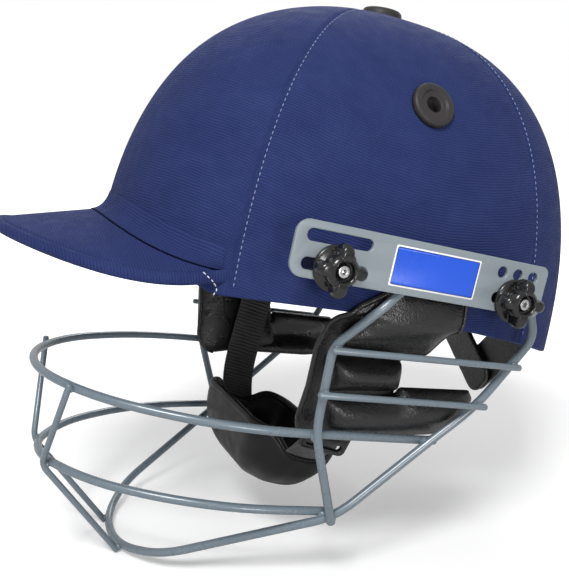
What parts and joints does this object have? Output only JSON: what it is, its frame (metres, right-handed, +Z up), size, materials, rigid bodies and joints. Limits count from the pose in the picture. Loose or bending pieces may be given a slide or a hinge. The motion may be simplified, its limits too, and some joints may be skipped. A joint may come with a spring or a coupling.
{
  "type": "batting helmet",
  "caption": "Cloth covered batting helmet with a peak, a welded wire face guard on side plates, ear pads and a webbing chin strap with a chin cup.",
  "frame": {"origin": "middle of the head opening, level with the shell's rim beside the ears", "axes": "-Y towards the face and peak, +X towards the wearer's left, +Z up as worn"},
  "size_m": [0.2362, 0.3037, 0.273],
  "materials": {
    "navy_cloth": "matt woven cloth",
    "hard_shell": "satin moulded",
    "liner_foam": "matt soft foam",
    "guard_paint": "gloss slate grey paint",
    "plate_paint": "gloss slate grey paint",
    "label_film": "gloss film",
    "bolt_steel": "satin",
    "knob_black": "gloss",
    "eyelet_rubber": "matt",
    "pad_leather": "grained",
    "webbing": "ribbed webbing",
    "cup_rubber": "satin moulded",
    "binding_tape": "matt tape"
  },
  "bodies": {
    "helmet": {"shell": "hard_shell", "cover_front": "navy_cloth", "cover_left": "navy_cloth", "cover_right": "navy_cloth", "cover_rear": "navy_cloth", "rim_binding": "binding_tape", "peak_board": "hard_shell", "peak_cover": "navy_cloth", "vent_eyelets": "eyelet_rubber", "front_pad": "liner_foam", "rear_pad": "liner_foam", "side_pad_left": "liner_foam", "side_pad_right": "liner_foam", "crown_pad_left": "liner_foam", "crown_pad_right": "liner_foam", "side_plate_left": "plate_paint", "side_plate_right": "plate_paint", "label_left": "label_film", "label_right": "label_film", "plate_bolts": "bolt_steel", "plate_spacers": "knob_black", "guard_upper_loop": "guard_paint", "guard_middle_loop": "guard_paint", "guard_lower_bar": "guard_paint", "side_bar_left": "guard_paint", "side_bar_right": "guard_paint", "upper_cross_bar_left": "guard_paint", "upper_cross_bar_right": "guard_paint", "lower_cross_bar_left": "guard_paint", "lower_cross_bar_right": "guard_paint", "front_strut_left": "guard_paint", "front_strut_right": "guard_paint", "ear_pad_left": "pad_leather", "ear_pad_right": "pad_leather", "strap_rivets": "bolt_steel", "nape_strap_left": "pad_leather", "nape_strap_right": "pad_leather"},
    "knob_front_left": {"knob_front_left": "knob_black"},
    "knob_front_right": {"knob_front_right": "knob_black"},
    "knob_rear_left": {"knob_rear_left": "knob_black"},
    "knob_rear_right": {"knob_rear_right": "knob_black"},
    "strap_and_cup": {"chin_strap": "webbing", "chin_cup": "cup_rubber"}
  },
  "joints": [
    {"name": "front_left_knob_turn", "type": "hinge", "parent": "helmet", "child": "knob_front_left", "pos_m": [0.1125, -0.04613, 0.02885], "axis": [1, 0, 0], "continuous": true},
    {"name": "front_right_knob_turn", "type": "hinge", "parent": "helmet", "child": "knob_front_right", "pos_m": [-0.1125, -0.04613, 0.02885], "axis": [-1, 0, 0], "continuous": true},
    {"name": "rear_left_knob_turn", "type": "hinge", "parent": "helmet", "child": "knob_rear_left", "pos_m": [0.1125, 0.04427, 0.00698], "axis": [1, 0, 0], "continuous": true},
    {"name": "rear_right_knob_turn", "type": "hinge", "parent": "helmet", "child": "knob_rear_right", "pos_m": [-0.1125, 0.04427, 0.00698], "axis": [-1, 0, 0], "continuous": true},
    {"name": "chin_strap_swing", "type": "hinge", "parent": "helmet", "child": "strap_and_cup", "pos_m": [0, 0.006, 0.02], "axis": [1, 0, 0], "range_deg": [-20, 25]}
  ]
}
